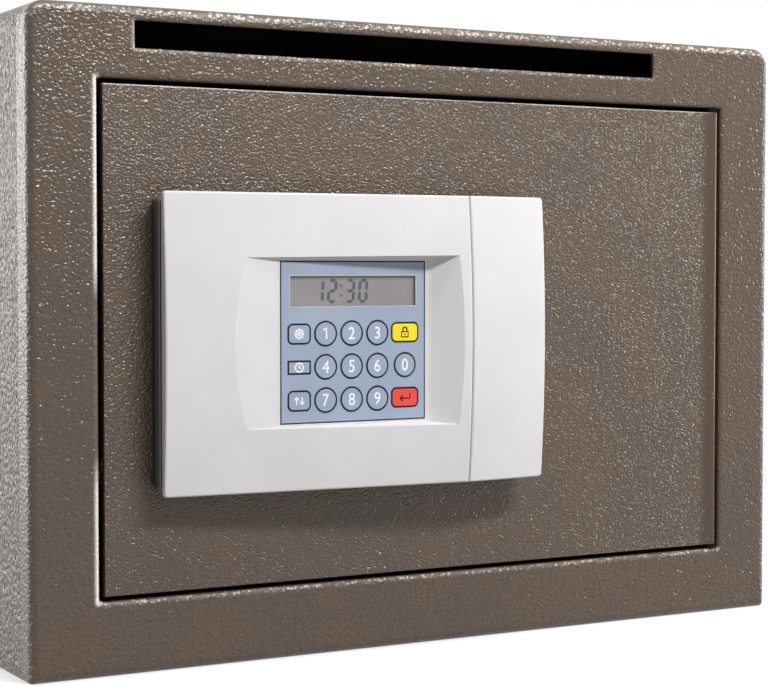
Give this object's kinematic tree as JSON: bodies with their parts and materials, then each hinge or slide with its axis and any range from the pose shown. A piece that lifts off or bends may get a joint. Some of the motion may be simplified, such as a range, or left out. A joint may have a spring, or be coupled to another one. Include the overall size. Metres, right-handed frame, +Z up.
{
  "type": "furniture safe",
  "caption": "Small steel furniture safe with a deposit slot above its door, an electronic keypad lock panel, motor-driven bolts and an emergency key lock.",
  "frame": {"origin": "centre of the face that the safe stands on, midway between its sides and between the front plate and the back plate", "axes": "+Z up, -Y out of the front face with the door and the keypad, +X to the right seen from the front"},
  "size_m": [0.352, 0.3237, 0.255],
  "materials": {
    "body_paint": "textured hammer-tone powder coat",
    "zinc_steel": "zinc plated",
    "bright_steel": "ground",
    "brass": "turned",
    "felt": "needle felt",
    "shell_plastic": "fine satin",
    "base_plastic": "fine satin",
    "black_plastic": "satin",
    "foil": "satin film",
    "key_blue": "satin film",
    "key_yellow": "satin film",
    "key_red": "satin film",
    "display": "grey display",
    "clear": "clear pane",
    "board_green": "solder resist",
    "chrome": "plated",
    "cell_wrap": "plain wrap",
    "rubber": "soft",
    "cover_paint": "matt black"
  },
  "bodies": {
    "cabinet": {"front_frame": "body_paint", "body_wrap": "body_paint", "base_plate": "body_paint", "back_plate": "body_paint", "floor_mat": "felt", "slot_hood": "body_paint", "slot_ramp": "body_paint", "hinge_pins": "bright_steel", "thrust_washers": "black_plastic"},
    "door": {"door_panel": "body_paint", "hinge_blocks": "zinc_steel", "bolt_guide": "zinc_steel", "bolt_bushes": "black_plastic", "guide_studs": "bright_steel", "door_posts": "zinc_steel", "gearbox": "zinc_steel", "motor": "bright_steel", "control_board": "board_green", "board_parts": "black_plastic", "battery_box": "black_plastic", "batteries": "cell_wrap", "battery_contacts": "bright_steel", "inner_cover": "cover_paint", "door_screws": "zinc_steel", "panel_base": "base_plastic", "panel_shell": "shell_plastic", "keypad_foil": "foil", "keypad_board": "board_green", "snap_domes": "bright_steel", "lcd_module": "display", "display_window": "clear", "lock_cylinder": "chrome", "lock_nut": "zinc_steel", "power_terminals": "black_plastic", "cable_grommet": "rubber", "lock_cables": "rubber"},
    "bolt_work": {"bolt_carrier": "zinc_steel", "lock_bolts": "bright_steel", "bolt_screws": "zinc_steel"},
    "motor_pinion": {"drive_pinion": "brass"},
    "emergency_rotor": {"lock_rotor": "chrome", "emergency_gear": "brass"},
    "side_cover": {"side_cover": "shell_plastic"},
    "battery_lid": {"battery_lid": "cover_paint"},
    "key_settings": {"key_settings": "key_blue"},
    "key_clock": {"key_clock": "key_blue"},
    "key_mode": {"key_mode": "key_blue"},
    "key_lock": {"key_lock": "key_yellow"},
    "key_0": {"key_0": "key_blue"},
    "key_enter": {"key_enter": "key_red"},
    "key_1": {"key_1": "key_blue"},
    "key_2": {"key_2": "key_blue"},
    "key_3": {"key_3": "key_blue"},
    "key_4": {"key_4": "key_blue"},
    "key_5": {"key_5": "key_blue"},
    "key_6": {"key_6": "key_blue"},
    "key_7": {"key_7": "key_blue"},
    "key_8": {"key_8": "key_blue"},
    "key_9": {"key_9": "key_blue"}
  },
  "joints": [
    {"name": "door_hinge", "type": "hinge", "parent": "cabinet", "child": "door", "pos_m": [0.1447, -0.147, 0.128], "axis": [0, 0, 1], "range_deg": [0, 100]},
    {"name": "bolt_slide", "type": "slide", "parent": "door", "child": "bolt_work", "axis": [-1, 0, 0], "range_m": [0, 0.014]},
    {"name": "pinion_spin", "type": "hinge", "parent": "door", "child": "motor_pinion", "pos_m": [-0.03041, -0.134, 0.123], "axis": [0, 1, 0], "range_deg": [0, 133.69]},
    {"name": "emergency_lock_turn", "type": "hinge", "parent": "door", "child": "emergency_rotor", "pos_m": [0.023, -0.15, 0.126], "axis": [0, 1, 0], "range_deg": [0, 89.13]},
    {"name": "side_cover_slide", "type": "slide", "parent": "door", "child": "side_cover", "axis": [1, 0, 0], "range_m": [0, 0.04]},
    {"name": "battery_lid_pull", "type": "slide", "parent": "door", "child": "battery_lid", "axis": [0, 1, 0], "range_m": [0, 0.03]},
    {"name": "key_settings_press", "type": "slide", "parent": "door", "child": "key_settings", "axis": [0, 1, 0], "range_m": [0, 0.0004], "stiffness_N_per_m": 1000},
    {"name": "key_clock_press", "type": "slide", "parent": "door", "child": "key_clock", "axis": [0, 1, 0], "range_m": [0, 0.0004], "stiffness_N_per_m": 1000},
    {"name": "key_mode_press", "type": "slide", "parent": "door", "child": "key_mode", "axis": [0, 1, 0], "range_m": [0, 0.0004], "stiffness_N_per_m": 1000},
    {"name": "key_lock_press", "type": "slide", "parent": "door", "child": "key_lock", "axis": [0, 1, 0], "range_m": [0, 0.0004], "stiffness_N_per_m": 1000},
    {"name": "key_0_press", "type": "slide", "parent": "door", "child": "key_0", "axis": [0, 1, 0], "range_m": [0, 0.0004], "stiffness_N_per_m": 1000},
    {"name": "key_enter_press", "type": "slide", "parent": "door", "child": "key_enter", "axis": [0, 1, 0], "range_m": [0, 0.0004], "stiffness_N_per_m": 1000},
    {"name": "key_1_press", "type": "slide", "parent": "door", "child": "key_1", "axis": [0, 1, 0], "range_m": [0, 0.0004], "stiffness_N_per_m": 1000},
    {"name": "key_2_press", "type": "slide", "parent": "door", "child": "key_2", "axis": [0, 1, 0], "range_m": [0, 0.0004], "stiffness_N_per_m": 1000},
    {"name": "key_3_press", "type": "slide", "parent": "door", "child": "key_3", "axis": [0, 1, 0], "range_m": [0, 0.0004], "stiffness_N_per_m": 1000},
    {"name": "key_4_press", "type": "slide", "parent": "door", "child": "key_4", "axis": [0, 1, 0], "range_m": [0, 0.0004], "stiffness_N_per_m": 1000},
    {"name": "key_5_press", "type": "slide", "parent": "door", "child": "key_5", "axis": [0, 1, 0], "range_m": [0, 0.0004], "stiffness_N_per_m": 1000},
    {"name": "key_6_press", "type": "slide", "parent": "door", "child": "key_6", "axis": [0, 1, 0], "range_m": [0, 0.0004], "stiffness_N_per_m": 1000},
    {"name": "key_7_press", "type": "slide", "parent": "door", "child": "key_7", "axis": [0, 1, 0], "range_m": [0, 0.0004], "stiffness_N_per_m": 1000},
    {"name": "key_8_press", "type": "slide", "parent": "door", "child": "key_8", "axis": [0, 1, 0], "range_m": [0, 0.0004], "stiffness_N_per_m": 1000},
    {"name": "key_9_press", "type": "slide", "parent": "door", "child": "key_9", "axis": [0, 1, 0], "range_m": [0, 0.0004], "stiffness_N_per_m": 1000}
  ],
  "couplings": [
    {"joint": "pinion_spin", "follows": "bolt_slide", "rad_per_m": 166.67},
    {"joint": "emergency_lock_turn", "follows": "bolt_slide", "rad_per_m": 111.11}
  ]
}
